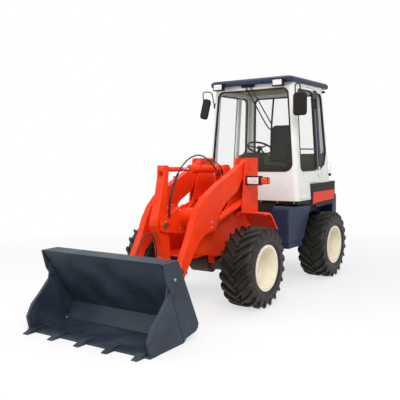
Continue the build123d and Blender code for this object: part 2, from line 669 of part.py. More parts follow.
DOOR_HINGE_Y = 1882.5
DOOR_HINGE_OUT = 15.0       # from the cab's skin to the hinge line
DOOR_HINGE_R = 12.0
DOOR_HINGE_Z = (1480.0, 2420.0)


def hinge_point(z, out=DOOR_HINGE_OUT):
    """Point of the leaning hinge line at the back edge of the door."""
    lean = (CAB_HIGH[0] - CAB_LOW[0]) / (CAB_TOP - FLOOR_Z)
    return (CAB_LOW[0] + lean * (z - FLOOR_Z) + out, DOOR_HINGE_Y, z)


def door_hinges(spans, side):
    """Knuckles on the hinge line with their leaves: side -1 on the door, 1 on the cab."""
    body = None
    for middle in DOOR_HINGE_Z:
        for low, high in spans:
            knuckle = bar(hinge_point(middle + low), hinge_point(middle + high), DOOR_HINGE_R)
            leaf = [(hinge_point(z, out)[0], z)
                    for z, out in ((middle + low, -6), (middle + low, 12), (middle + high, 12), (middle + high, -6))]
            y0 = DOOR_HINGE_Y + side * 6
            knuckle += xz(leaf, min(y0, y0 + side * 26), max(y0, y0 + side * 26))
            body = knuckle if body is None else body + knuckle
    return body


def cab_panels():
    shell = cab_shell()
    gap = 5.0
    opening = [(1240 - gap, 1140 - gap), (1290 - gap, 2625 + gap), (1880 + gap, 2625 + gap), (1880 + gap, 1345 - gap),
               (1560 + gap, 1345 - gap), (1530 + gap, 1140 - gap)]
    front = shell & yz(FRONT_CORNER, -800, 800)
    rear = shell & yz(REAR_CORNER, -800, 800)
    sides = shell - front - rear
    left = (sides & block((0, 800), (1100, 2400), (1100, 2700))) - yz(opening, 500, 800)
    right = sides & block((-800, 0), (1100, 2400), (1100, 2700))
    door = (cab_body(0) - cab_body(WALL - 15)) & yz(DOOR, 500, 800)
    door -= window_cut("door")
    door += door_hinges(((-30, 30),), -1)
    left += door_hinges(((-70, -35), (35, 70)), 1)
    return {"cab_front": front, "cab_rear": rear, "cab_left_side": left, "cab_right_side": right, "cab_door": door}


def cab_glasses():
    sheet = cab_body(12) - cab_body(12 + GLASS)
    panes = [sheet & window_cut(name, SEAL) for name in FIXED]
    return {"cab_glass": panes[0] + panes[1:], "door_glass": sheet & window_cut("door", SEAL)}


ROOF_LOW = 2662.0           # the rim of the roof, down over the top of the cab
ROOF_FRONT = 1120.0


def cab_roof():
    """Overhanging roof panel with a sloping rim, fitted over the top of the cab."""
    middle = ROOF_FRONT + 642
    sections = []
    for z, inset in ((ROOF_LOW, 8), (2680, 0), (2712, 0), (2737, 26)):
        sections.append(Pos(0, middle, z) * RectangleRounded(1240 - 2 * inset, 1284 - 2 * inset, 60 - inset / 2))
    return loft(sections, ruled=True) - cab_body(0)


def cab_floor():
    floor = block((-690, 690), (1160, 1565), (BASE_Z, FLOOR_Z))
    floor += block((-640, 640), (1200, 1565), (FLOOR_Z, FLOOR_Z + 6))
    floor += block((-HOOD_HALF, HOOD_HALF), (1565, HOOD_FRONT), (BASE_Z + 20, FLOOR_Z + 6))
    return floor


def dash_console():
    side = [(1215, 1126), (1430, 1126), (1380, 1500), (1330, 1760), (1235, 1720)]
    return yz(side, -170, 110)


def steering_wheel():
    centre = Vector(0, 1430, 1820)
    tilt = Plane(centre, x_dir=(1, 0, 0), z_dir=(0, 0.45, 0.89))
    wheel = tilt * Torus(172, 13)
    wheel += tilt * Cylinder(40, 26)
    for turn in (90, 210, 330):
        wheel += tilt * (Rot(0, 0, turn) * (Pos(86, 0, -4) * Box(172, 22, 8)))
    column = bar(centre, (0, 1345, 1690), 22)
    return wheel + column - dash_console()


def control_levers():
    body = block((250, 340), (HOOD_FRONT, 1900), (DECK_Z, 1560))
    for x in (272, 318):
        body += bar((x, 1730, 1550), (x, 1690, 1760), 8)
        body += Pos(x, 1686, 1775) * Sphere(20)
    return body


def seat_base():
    return block((-190, 190), (1710, 2060), (DECK_Z, 1480))


def seat_pads():
    plan = Pos(0, 1850, 1480) * RectangleRounded(430, 460, 60)
    cushion = extrude(plan, 120)
    back = [(2020, 1600), (2130, 1600), (2175, 2000), (2160, 2180), (2100, 2180), (2080, 2000)]
    face = SIDE_VIEW.offset(-180) * rounded(back, (0, 0, 30, 25, 25, 30))
    return cushion + extrude(face, 360)


def mirrors():
    """Two mirror heads, each on a bent tube from the edge of the roof."""
    body = None
    for side, y, x0, x1, z0, z1 in ((1, 975, 700, 900, 2210, 2495), (-1, 1220, 730, 890, 2250, 2530)):
        plate = FRONT_VIEW.offset(-y - 15) * Pos((x0 + x1) / 2, (z0 + z1) / 2) * RectangleRounded(x1 - x0, z1 - z0, 42)
        head = extrude(plate, 30)
        path = [((x0 + x1) / 2, y, z1 - 5), ((x0 + x1) / 2, y, z1 + 60), (700, 1240, 2706), (620, 1240, 2706)]
        for start, end in zip(path, path[1:]):
            head += bar(start, end, 9) + Pos(*start) * Sphere(9)
        if side < 0:
            head = mirror(head, Plane.YZ)
        body = head if body is None else body + head
    return body


def work_lamps():
    """Two square lamps on the front edge of the roof."""
    face = Pos(450, 2650) * RectangleRounded(160, 96, 14)
    return pair(extrude(FRONT_VIEW.offset(-ROOF_FRONT) * face, 52))


def rear_lamps():
    return pair(block((540, 630), (2600, 2622), (1190, 1290)))


def saved(nodes):
    os.makedirs("parts", exist_ok=True)
    for name, shape in nodes.items():
        export_step(Pos(0, -MIDDLE_Y, 0) * shape, "parts/" + name + ".step")


if __name__ == "__main__":
    nodes = wheels()
    nodes["front_axle"] = axle(0.0)
    nodes["rear_axle"] = axle(WHEELBASE)
    nodes.update(cab_panels())
    nodes.update(cab_glasses())
    nodes.update(window_seals())
    for make in (front_frame, front_fenders, headlamps, boom_arms, boom_cross, lever_pin, tilt_lever, link_pin,
                 bucket_link, lift_barrels, lift_rods, tilt_barrel, tilt_rod, bucket_blade, bucket_pins, bucket_jaw,
                 jaw_barrels, jaw_rods, boom_hose, tilt_hose, bucket_hose,
                 rear_chassis, engine_block, engine_hood, rear_grille, counterweight, rear_fenders, side_covers, side_tanks,
                 cab_roof, cab_floor, dash_console, steering_wheel, control_levers, seat_base, seat_pads, mirrors,
                 work_lamps, rear_lamps):
        nodes[make.__name__] = make()
    saved(nodes)
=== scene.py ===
"""Looks for the compact wheel loader: camera, hoses, materials, tyres, seat, lamps, trim, light."""
import json
import math

import bmesh
import bpy
from mathutils import Matrix, Vector


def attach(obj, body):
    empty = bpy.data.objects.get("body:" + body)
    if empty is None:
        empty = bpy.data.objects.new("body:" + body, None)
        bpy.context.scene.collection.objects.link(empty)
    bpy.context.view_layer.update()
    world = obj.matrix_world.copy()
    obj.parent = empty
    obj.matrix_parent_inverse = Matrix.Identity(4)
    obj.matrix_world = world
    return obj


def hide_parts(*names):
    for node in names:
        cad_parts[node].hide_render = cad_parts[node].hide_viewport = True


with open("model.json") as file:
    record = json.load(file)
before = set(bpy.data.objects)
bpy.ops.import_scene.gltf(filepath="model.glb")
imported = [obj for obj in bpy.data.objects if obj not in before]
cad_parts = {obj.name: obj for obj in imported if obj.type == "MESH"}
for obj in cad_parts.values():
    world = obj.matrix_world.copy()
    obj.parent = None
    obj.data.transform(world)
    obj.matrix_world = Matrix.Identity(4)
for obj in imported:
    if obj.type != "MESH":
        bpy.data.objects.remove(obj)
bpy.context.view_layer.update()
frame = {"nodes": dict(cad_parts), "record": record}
nodes = frame["nodes"]
scene = bpy.context.scene
MIDDLE_Y = 0.327            # from the front axle to the middle of the footprint


def at(x, y, z):
    """A point given in metres from the front axle, in the scene's frame."""
    return Vector((x, y - MIDDLE_Y, z))


# ---------------------------------------------------------------- camera
# direction, standpoint and lens are solved from the perspective of the picture
YAW, PITCH, ROLL = (math.radians(v) for v in (-34.106, -4.323, -0.620))
forward = Vector((math.sin(YAW) * math.cos(PITCH), math.cos(YAW) * math.cos(PITCH), math.sin(PITCH)))
level = Vector((math.cos(YAW), -math.sin(YAW), 0))
upright = level.cross(forward)
right = math.cos(ROLL) * level + math.sin(ROLL) * upright
up = -math.sin(ROLL) * level + math.cos(ROLL) * upright
camera_data = bpy.data.cameras.new("camera")
camera_data.sensor_width = 36.0
camera_data.lens = 52.41
camera = bpy.data.objects.new("camera", camera_data)
STANDPOINT = (3.850, -6.074, 1.719)
camera.matrix_world = Matrix.Translation(STANDPOINT) @ Matrix((right, up, -forward)).transposed().to_4x4()
scene.collection.objects.link(camera)
scene.camera = camera
scene.view_settings.view_transform = "Standard"

# ---------------------------------------------------------------- hoses
HOSES = (
    # name, body, diameter, length, route (the same points as the tube in the source)
    ("boom_hose", "boom", 0.016, 1.323,
     ((0.103, -0.800, 1.060), (0.103, -0.803, 1.165), (0.109, -0.776, 1.320), (0.118, -0.700, 1.472),
      (0.120, -0.612, 1.592), (0.126, -0.475, 1.690), (0.150, -0.325, 1.737), (0.181, -0.215, 1.708),
      (0.212, -0.128, 1.632), (0.235, -0.060, 1.550), (0.261, -0.020, 1.490))),
    ("tilt_hose", "tilt_barrel_body", 0.012, 0.539,
     ((0.038, -0.082, 1.619), (0.066, -0.054, 1.658), (0.120, 0.010, 1.668), (0.165, 0.070, 1.635),
      (0.185, 0.125, 1.575), (0.175, 0.175, 1.515), (0.140, 0.215, 1.478), (0.095, 0.235, 1.478),
      (0.0565, 0.241, 1.511))),
    ("bucket_hose", "bucket", 0.016, 0.993,
     ((0.200, -1.609, 0.640), (0.200, -1.550, 0.6775), (0.196, -1.470, 0.745), (0.195, -1.410, 0.840),
      (0.197, -1.365, 0.920), (0.202, -1.290, 0.962), (0.210, -1.215, 0.925), (0.217, -1.182, 0.830),
      (0.221, -1.180, 0.720), (0.225, -1.205, 0.600), (0.227, -1.238, 0.480))),
)


def curve(name, points, diameter):
    """Round tube on one smooth open spline."""
    data = bpy.data.curves.new(name, "CURVE")
    data.dimensions = "3D"
    data.bevel_depth = 1.0
    data.bevel_resolution = 4
    data.use_fill_caps = True
    spline = data.splines.new("NURBS")
    spline.points.add(len(points) - 1)
    for place, point in zip(spline.points, points):
        place.co = (*point, 1.0)
        place.radius = diameter / 2
    spline.order_u = 3
    spline.use_endpoint_u = True
    spline.resolution_u = 8
    piece = bpy.data.objects.new(name, data)
    scene.collection.objects.link(piece)
    return piece


hoses, paths = [], {}
for name, body, diameter, length, route in HOSES:
    paths[name] = [at(*point) for point in route]
    hose = curve(name + "_line", paths[name], diameter)
    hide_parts(name)
    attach(hose, body)
    hoses.append(hose)

# ---------------------------------------------------------------- materials


def node_tools(tree):
    """Two functions for a node tree: add a node with its values, and link two sockets."""
    def add(kind, **values):
        node = tree.nodes.new(kind)
        for key, value in values.items():
            if hasattr(node, key):
                setattr(node, key, value)
            else:
                node.inputs[key.replace("_", " ")].default_value = value
        return node

    def link(a, b):
        tree.links.new(a, b)

    return add, link


def graph(name):
    """A new node material: (material, add node, link two sockets, the shader)."""
    material = bpy.data.materials.new(name)
    material.use_nodes = True
    add, link = node_tools(material.node_tree)
    return material, add, link, material.node_tree.nodes["Principled BSDF"]


def rgb(colour):
    return (*colour, 1.0)


def span(add, link, value, low, high, to_low, to_high):
    """Map a value from one span to another."""
    node = add("ShaderNodeMapRange", **{"From Min": low, "From Max": high, "To Min": to_low, "To Max": to_high})
    link(value, node.inputs["Value"])
    return node.outputs["Result"]


def times(add, link, a, b):
    node = add("ShaderNodeMath", operation="MULTIPLY")
    link(a, node.inputs[0])
    link(b, node.inputs[1])
    return node.outputs["Value"]


def noise(add, link, place, **values):
    node = add("ShaderNodeTexNoise", **values)
    link(place, node.inputs["Vector"])
    return node.outputs["Fac"]


def mixed(add, link, share, base, colour):
    """The base colour with a share of another one."""
    node = add("ShaderNodeMix", data_type="RGBA")
    link(share, node.inputs["Factor"])
    link(base, node.inputs["A"])
    node.inputs["B"].default_value = rgb(colour)
    return node.outputs["Result"]


def worn_share(add, link, place, edge, wear):
    """Worn edges: where the softened normal leaves the true one, broken up by noise."""
    flat = add("ShaderNodeNewGeometry")
    wide = add("ShaderNodeBevel", samples=4, Radius=edge * 2.2)
    dot = add("ShaderNodeVectorMath", operation="DOT_PRODUCT")
    link(flat.outputs["True Normal"], dot.inputs[0])
    link(wide.outputs["Normal"], dot.inputs[1])
    rim = span(add, link, dot.outputs["Value"], 0.995, 0.90, 0.0, 1.0)
    chips = noise(add, link, place, Scale=38.0, Detail=5.0, Roughness=0.7)
    return times(add, link, rim, span(add, link, chips, 0.62 - 0.22 * wear, 0.70, 0.0, 1.0))


def dust_share(add, link, place, dust, dust_top):
    """Dust in patches, thinning out up to a height."""
    height = add("ShaderNodeSeparateXYZ")
    link(place, height.inputs["Vector"])
    low = span(add, link, height.outputs["Z"], 0.0, dust_top, 1.0, 0.0)
    cloud = noise(add, link, place, Scale=9.0, Detail=6.0, Roughness=0.65)
    return times(add, link, low, span(add, link, cloud, 0.38, 0.72, 0.0, dust))


def surface(name, colour, rough=0.35, metallic=0.0, coat=0.0, mottle=0.12, mottle_scale=6.0, grain=0.02,
            grain_scale=260.0, wear=0.0, wear_colour=(0.30, 0.29, 0.28), dust=0.0, dust_top=0.9,
            dust_colour=(0.30, 0.25, 0.19), edge=0.003, sheen=0.0, rough_spread=0.12,
            specular=0.25, ribs=0.0):
    """A rigid finish: mottled colour, worn edges, dust below, fine grain and softened edges."""
    material, add, link, shader = graph(name)
    place = add("ShaderNodeTexCoord").outputs["Object"]
    big = noise(add, link, place, Scale=mottle_scale, Detail=4.0)
    dark = [c * (1 - mottle) for c in colour]
    light = [min(1.0, c * (1 + 0.5 * mottle)) for c in colour]
    ramp = add("ShaderNodeValToRGB")
    ramp.color_ramp.elements[0].position, ramp.color_ramp.elements[1].position = 0.35, 0.68
    ramp.color_ramp.elements[0].color, ramp.color_ramp.elements[1].color = rgb(dark), rgb(light)
    link(big, ramp.inputs["Fac"])
    out = ramp.outputs["Color"]
    if wear:
        out = mixed(add, link, worn_share(add, link, place, edge, wear), out, wear_colour)
    if dust:
        out = mixed(add, link, dust_share(add, link, place, dust, dust_top), out, dust_colour)
    link(out, shader.inputs["Base Color"])
    smoothest = max(0.03, rough - rough_spread / 2)
    roughest = min(1.0, rough + rough_spread / 2)
    link(span(add, link, big, 0.3, 0.7, smoothest, roughest), shader.inputs["Roughness"])
    fine = noise(add, link, place, Scale=grain_scale, Detail=3.0)
    soft = add("ShaderNodeBevel", samples=4, Radius=edge)
    relief = add("ShaderNodeBump", Strength=min(1.0, grain * 10), Distance=grain * 0.01)
    link(fine, relief.inputs["Height"])
    link(soft.outputs["Normal"], relief.inputs["Normal"])
    if ribs:
        wave = add("ShaderNodeTexWave", Scale=ribs, Distortion=0.0)
        link(place, wave.inputs["Vector"])
        ribbed = add("ShaderNodeBump", Strength=0.5, Distance=0.002)
        link(wave.outputs["Fac"], ribbed.inputs["Height"])
        link(relief.outputs["Normal"], ribbed.inputs["Normal"])
        relief = ribbed
    link(relief.outputs["Normal"], shader.inputs["Normal"])
    shader.inputs["Metallic"].default_value = metallic
    shader.inputs["Coat Weight"].default_value = coat
    shader.inputs["Coat Roughness"].default_value = 0.08
    shader.inputs["Sheen Weight"].default_value = sheen
    shader.inputs["Specular IOR Level"].default_value = specular
    return material


def glass(name, tint, rough=0.02, alpha=0.045):
    """Thin glass: mostly clear, with its reflections kept."""
    material, add, link, shader = graph(name)
    place = add("ShaderNodeTexCoord").outputs["Object"]
    streak = noise(add, link, place, Scale=5.0, Detail=3.0)
    link(span(add, link, streak, 0.3, 0.7, rough, rough + 0.03), shader.inputs["Roughness"])
    shader.inputs["Base Color"].default_value = rgb(tint)
    shader.inputs["Alpha"].default_value = alpha
    shader.inputs["IOR"].default_value = 1.45
    return material


ORANGE = surface("orange_enamel", (0.86, 0.046, 0.008), rough=0.36, coat=0.02, mottle=0.10, wear=0.35,
                 wear_colour=(0.42, 0.10, 0.05), dust=0.08, specular=0.10)
NAVY = surface("navy_enamel", (0.022, 0.034, 0.072), rough=0.42, coat=0.02, mottle=0.25, wear=0.4,
               wear_colour=(0.10, 0.12, 0.16), dust=0.10, specular=0.16)
BUCKET = surface("bucket_enamel", (0.030, 0.042, 0.062), rough=0.55, mottle=0.4, mottle_scale=3.5, wear=0.9,
                 wear_colour=(0.17, 0.19, 0.23), dust=0.10, dust_colour=(0.12, 0.14, 0.17),
                 rough_spread=0.25)
WHITE = surface("white_enamel", (0.80, 0.80, 0.77), rough=0.30, coat=0.10, mottle=0.04, wear=0.2,
                wear_colour=(0.5, 0.5, 0.47), dust=0.08, dust_top=1.6)
CREAM = surface("cream_enamel", (0.90, 0.83, 0.68), rough=0.40, coat=0.05, mottle=0.06, wear=0.3,
                wear_colour=(0.50, 0.43, 0.31), dust=0.08)
CHASSIS = surface("chassis_paint", (0.030, 0.022, 0.020), rough=0.55, mottle=0.3, wear=0.5,
                  wear_colour=(0.10, 0.09, 0.085), dust=0.2)
AXLE = surface("axle_paint", (0.045, 0.040, 0.040), rough=0.55, mottle=0.3, grain=0.06, grain_scale=120,
               dust=0.3)
IRON = surface("engine_iron", (0.07, 0.07, 0.07), rough=0.6, mottle=0.3, grain=0.08, grain_scale=110, dust=0.2)
PLASTIC = surface("black_plastic", (0.014, 0.011, 0.010), rough=0.5, mottle=0.15, grain=0.05, grain_scale=420,
                  edge=0.004, specular=0.15)
RUBBER = surface("tyre_rubber", (0.015, 0.013, 0.010), rough=0.48, mottle=0.35, mottle_scale=9, grain=0.05,
                 grain_scale=180, edge=0.003, specular=0.3)
HOSE = surface("hose_rubber", (0.013, 0.012, 0.012), rough=0.45, mottle=0.2, mottle_scale=30, grain=0.03,
               grain_scale=600, edge=0.001, specular=0.35)
SEAL = surface("seal_rubber", (0.014, 0.013, 0.011), rough=0.55, mottle=0.15, grain=0.03, grain_scale=500,
               edge=0.003)
CHROME = surface("hard_chrome", (0.72, 0.72, 0.74), rough=0.14, metallic=1.0, mottle=0.05, grain=0.004,
                 rough_spread=0.06)
STEEL = surface("pin_steel", (0.38, 0.37, 0.36), rough=0.38, metallic=1.0, mottle=0.2, grain=0.02)
GLASS = glass("cab_glass", (0.30, 0.34, 0.32))
LENS = surface("lamp_lens", (0.78, 0.77, 0.75), rough=0.12, coat=0.5, mottle=0.35, mottle_scale=45, grain=0.0,
               ribs=32.0, specular=0.6)
AMBER = surface("indicator_lens", (0.80, 0.075, 0.012), rough=0.15, coat=0.4, mottle=0.25, mottle_scale=40,
                ribs=40.0)
RED = surface("red_lens", (0.50, 0.015, 0.010), rough=0.15, coat=0.5, mottle=0.2, mottle_scale=40, ribs=40.0)
VINYL = surface("seat_vinyl", (0.013, 0.008, 0.007), rough=0.55, mottle=0.2, grain=0.10, grain_scale=330,
                sheen=0.03, edge=0.002, specular=0.15)
LINING = surface("olive_lining", (0.235, 0.230, 0.130), rough=0.8, mottle=0.2, grain=0.12, grain_scale=300)
TRIM = surface("dark_olive_trim", (0.072, 0.076, 0.036), rough=0.75, mottle=0.25, grain=0.10, grain_scale=300)

FINISH = {
    "orange_paint": ORANGE, "navy_paint": NAVY, "white_paint": WHITE, "cream_paint": CREAM,
    "chassis_paint": CHASSIS, "engine_iron": IRON, "axle_paint": AXLE, "black_trim": PLASTIC,
    "tyre_rubber": RUBBER, "hose_rubber": HOSE, "seal_rubber": SEAL, "chrome_rod": CHROME, "pin_steel": STEEL,
    "clear_glass": GLASS, "lamp_lens": LENS, "red_lens": RED, "seat_vinyl": VINYL,
}
OWN_FINISH = {"bucket_blade": BUCKET, "bucket_jaw": BUCKET, "headlamps": PLASTIC, "work_lamps": PLASTIC}
for part in frame["record"]["subparts"]:
    node = part["node"]
    mesh = nodes[node].data
    mesh.materials.clear()
    mesh.materials.append(OWN_FINISH.get(node) or FINISH[part["material_slot"]])
for hose in hoses:
    hose.data.materials.append(HOSE)

# ---------------------------------------------------------------- pieces


def put_in_scene(name, data):
    piece = bpy.data.objects.new(name, data)
    scene.collection.objects.link(piece)
    return piece


def mesh_from(name, bm, closed=True):
    """A mesh from mesh code; the faces of a closed form are turned outwards."""
    if closed:
        bmesh.ops.recalc_face_normals(bm, faces=bm.faces)
    mesh = bpy.data.meshes.new(name)
    bm.to_mesh(mesh)
    bm.free()
    return mesh


def finish_mesh(mesh, sharp, material):
    """Shaded smooth up to an angle, in one material."""
    mesh.shade_smooth()
    mesh.set_sharp_from_angle(angle=math.radians(sharp))
    mesh.materials.append(material)


def piece_from(name, bm, material, body, sharp=35):
    """An object from mesh code that rides on a body."""
    mesh = mesh_from(name, bm)
    finish_mesh(mesh, sharp, material)
    piece = put_in_scene(name, mesh)
    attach(piece, body)
    return piece


def tube(name, points, diameter, material, body):
    piece = curve(name, points, diameter)
    piece.data.materials.append(material)
    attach(piece, body)
    return piece


def add_rings(bm, rings):
    """Skin a list of rings of points and close both ends with a face."""
    made = [[bm.verts.new(point) for point in ring] for ring in rings]
    for ring_a, ring_b in zip(made, made[1:]):
        for i in range(len(ring_a)):
            j = (i + 1) % len(ring_a)
            bm.faces.new((ring_a[i], ring_a[j], ring_b[j], ring_b[i]))
    bm.faces.new(made[0])
    bm.faces.new(made[-1])


def disc(radius, count):
    """Outline of a round plate."""
    turns = [2 * math.pi * i / count for i in range(count)]
    return [(radius * math.cos(turn), radius * math.sin(turn)) for turn in turns]


def round_rectangle(width, height, radius):
    """Outline of a plate with round corners."""
    steps = 6
    points = []
    for corner, (x, y) in enumerate(((1, 1), (-1, 1), (-1, -1), (1, -1))):
        for step in range(steps + 1):
            turn = math.radians(90 * corner + 90 * step / steps)
            points.append((x * (width / 2 - radius) + radius * math.cos(turn),
                           y * (height / 2 - radius) + radius * math.sin(turn)))
    return points


def add_pad(bm, outline, levels, place):
    """Plate with an outline of (u, v) points: (depth, scale) levels from its back to its crowned front."""
    rings = []
    for depth, scale in levels:
        rings.append([place @ Vector((u * scale, v * scale, depth)) for u, v in outline])
    add_rings(bm, rings)


def pad_piece(name, outline, levels, place, material, body):
    """One plate as a piece of its own."""
    bm = bmesh.new()
    add_pad(bm, outline, levels, place)
    return piece_from(name, bm, material, body)


def facing(point, out, upward=(0, 0, 1)):
    """Frame at a point whose third axis looks out of the surface."""
    w = Vector(out).normalized()
    u = Vector(upward).cross(w).normalized()
    v = w.cross(u)
    return Matrix.Translation(point) @ Matrix((u, v, w)).transposed().to_4x4()


def add_bolt(bm, point, out, size=0.012):
    """Hexagon head with a chamfer on a washer."""
    place = facing(point, out, (0.1, 0.2, 1))
    add_pad(bm, disc(size * 1.35, 20), ((-0.001, 1.0), (0.002, 1.0), (0.0028, 0.94)), place)
    add_pad(bm, disc(size, 6), ((0.0, 1.0), (size * 0.55, 1.0), (size * 0.68, 0.86)), place)


# ---------------------------------------------------------------- tyres
TRACK_X, AXLE_Z, WHEELBASE = 0.678, 0.460, 2.034
LUGS, LUG_SLOPE, LUG_MIDDLE, LUG_RADIUS = 21, 0.95, 0.09, 0.45
CHAMFER_ACROSS, CHAMFER_DEEP = 0.002, 0.005
# half of the carcass, (distance from the middle plane, radius), from the bead to the crown
CARCASS = (
    (0.160, 0.2530), (0.1685, 0.2640), (0.1740, 0.2700), (0.1770, 0.2720), (0.1800, 0.2860), (0.1850, 0.2950),
    (0.1875, 0.3000), (0.1885, 0.3120), (0.1905, 0.3160), (0.1905, 0.3200), (0.1890, 0.3240), (0.1895, 0.3450),
    (0.1880, 0.3700), (0.1840, 0.3920), (0.1750, 0.4080), (0.1600, 0.4170), (0.1300, 0.4210), (0.0700, 0.4230),
    (0.0, 0.4235),
)
# one lug from the middle to the shoulder: x, base radius, top radius, half width at the base and at the top
LUG = (
    (-0.006, 0.4150, 0.4560, 0.020, 0.010), (0.002, 0.4150, 0.4595, 0.025, 0.0135),
    (0.050, 0.4150, 0.4597, 0.026, 0.0140), (0.100, 0.4120, 0.4592, 0.027, 0.0148),
    (0.140, 0.4080, 0.4580, 0.029, 0.0156), (0.165, 0.4020, 0.4545, 0.030, 0.0162),
    (0.1800, 0.3920, 0.4450, 0.030, 0.0165), (0.1895, 0.3780, 0.4250, 0.029, 0.0165),
    (0.1915, 0.3650, 0.3980, 0.026, 0.0150), (0.1905, 0.3520, 0.3680, 0.020, 0.0120),
)


def add_carcass(bm):
    """The ribbed carcass, turned about the wheel's axis as a closed ring of sections."""
    profile = list(CARCASS) + [(-x, r) for x, r in reversed(CARCASS[:-1])]
    turns = 168
    made = []
    for step in range(turns):
        turn = 2 * math.pi * step / turns
        made.append([bm.verts.new((x, r * math.cos(turn), r * math.sin(turn))) for x, r in profile])
    for i in range(turns):
        ring_a, ring_b = made[i], made[(i + 1) % turns]
        for j in range(len(profile)):
            k = (j + 1) % len(profile)
            bm.faces.new((ring_a[j], ring_a[k], ring_b[k], ring_b[j]))


def add_lug(bm, side, middle):
    """One chevron lug with chamfered edges, from the tyre's middle to its shoulder."""
    sections = []
    for x, low, high, wide, narrow in LUG:
        turn = middle + (LUG_MIDDLE - x) * LUG_SLOPE / LUG_RADIUS
        outline = ((-wide, low), (-narrow - CHAMFER_ACROSS, high - CHAMFER_DEEP),
                   (-narrow + CHAMFER_ACROSS, high), (narrow - CHAMFER_ACROSS, high),
                   (narrow + CHAMFER_ACROSS, high - CHAMFER_DEEP), (wide, low))
        angles = [(turn + across / LUG_RADIUS, radius) for across, radius in outline]
        sections.append([Vector((side * x, r * math.cos(a), r * math.sin(a))) for a, r in angles])
    add_rings(bm, sections)


def tyre_mesh(name):
    """Left-hand tyre about its own centre: the carcass and two rows of chevron lugs."""
    bm = bmesh.new()
    add_carcass(bm)
    for side, shift in ((1, 0.0), (-1, 0.5)):
        for number in range(LUGS):
            add_lug(bm, side, 2 * math.pi * (number + shift) / LUGS)
    mesh = mesh_from(name, bm)
    finish_mesh(mesh, sharp=32, material=RUBBER)
    return mesh


pattern = tyre_mesh("tyre_pattern")
NUTS, NUT_RING, DISC_X, HUB_X = 8, 0.120, 0.640, 0.670
for end, y in (("front", 0.0), ("rear", WHEELBASE)):
    for hand, side in (("left", 1), ("right", -1)):
        wheel = end + "_" + hand
        mesh = pattern.copy()
        mesh.name = "tyre_mesh_" + wheel
        mirror = Matrix.Diagonal((side, 1, 1, 1))
        mesh.transform(Matrix.Translation(at(side * TRACK_X, y, AXLE_Z)) @ mirror)
        if side < 0:
            mesh.flip_normals()
        tyre = put_in_scene("tread_" + wheel, mesh)
        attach(tyre, "wheel_" + wheel)
        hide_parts("tyre_" + wheel)
        bm = bmesh.new()
        for number in range(NUTS):
            angle = 2 * math.pi * (number + 0.5) / NUTS
            point = at(side * DISC_X, y + NUT_RING * math.cos(angle), AXLE_Z + NUT_RING * math.sin(angle))
            add_bolt(bm, point, (side, 0, 0), size=0.014)
        add_pad(bm, disc(0.052, 32), ((-0.004, 1.0), (0.010, 1.0), (0.016, 0.9), (0.018, 0.6)),
                facing(at(side * HUB_X, y, AXLE_Z), (side, 0, 0)))
        piece_from("wheel_nuts_" + wheel, bm, CREAM, "wheel_" + wheel)

# ---------------------------------------------------------------- seat
VOXEL, PRESSURE, SWELL_MOST, SWELL_FRAMES = 0.007, 4.0, 0.008, 20
CHANNEL_HALF, CHANNEL_DEEP = 0.012, 0.006


def soft_block(name, outline, depths, place):
    """Closed pad before it swells, with the same outline and levels as add_pad."""
    bm = bmesh.new()
    add_pad(bm, outline, depths, place)
    return put_in_scene(name, mesh_from(name, bm))


def apply_modifiers(piece):
    """Bake what the modifiers give into the piece's own mesh."""
    graph_now = bpy.context.evaluated_depsgraph_get()
    mesh = bpy.data.meshes.new_from_object(piece.evaluated_get(graph_now))
    piece.modifiers.clear()
    old = piece.data
    piece.data = mesh
    bpy.data.meshes.remove(old)


def swell(piece):
    """Blow the pad up as cloth under pressure."""
    cloth = piece.modifiers.new("cloth", "CLOTH")
    cloth.settings.use_pressure = True
    cloth.settings.uniform_pressure_force = PRESSURE
    cloth.settings.effector_weights.gravity = 0.0
    cloth.point_cache.frame_start = 1
    cloth.point_cache.frame_end = SWELL_FRAMES
    for number in range(1, SWELL_FRAMES + 1):
        scene.frame_set(number)
    apply_modifiers(piece)
    scene.frame_set(1)


def inflate(piece, channel, inward):
    """Swell a pad within a limit, then press two sewn channels into it, at a distance from its middle."""
    remesh = piece.modifiers.new("remesh", "REMESH")
    remesh.mode = "VOXEL"
    remesh.voxel_size = VOXEL
    apply_modifiers(piece)
    before = [v.co.copy() for v in piece.data.vertices]
    swell(piece)
    for vertex, start in zip(piece.data.vertices, before):
        move = vertex.co - start
        if move.length > SWELL_MOST:
            vertex.co = start + move * (SWELL_MOST / move.length)
        gap = abs(abs(vertex.co.x) - channel)
        if gap < CHANNEL_HALF:
            press = 0.5 + 0.5 * math.cos(math.pi * gap / CHANNEL_HALF)
            vertex.co += Vector(inward) * (CHANNEL_DEEP * press)
    smooth = piece.modifiers.new("smooth", "SUBSURF")
    smooth.levels = smooth.render_levels = 1
    apply_modifiers(piece)
    piece.data.shade_smooth()
    piece.data.materials.clear()
    piece.data.materials.append(VINYL)
    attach(piece, "rear")


cushion = soft_block("seat_cushion", round_rectangle(0.410, 0.440, 0.060),
                     ((0.0, 0.94), (0.012, 0.985), (0.050, 1.0), (0.085, 1.0), (0.103, 0.975), (0.110, 0.93)),
                     Matrix.Translation(at(0, 1.850, 1.482)))
inflate(cushion, 0.130, (0, 0, -1))
lean = Vector((0, 0.105, 0.560)).normalized()
sideways = Vector((1, 0, 0))
leaning = Matrix((sideways, lean, sideways.cross(lean))).transposed().to_4x4()
backrest = soft_block("seat_backrest", round_rectangle(0.342, 0.560, 0.070),
                      ((-0.038, 0.95), (-0.030, 0.985), (0.0, 1.0), (0.022, 0.99), (0.036, 0.95)),
                      Matrix.Translation(at(0, 2.092, 1.890)) @ leaning)
inflate(backrest, 0.105, (0, 0.9, 0))
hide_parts("seat_pads")

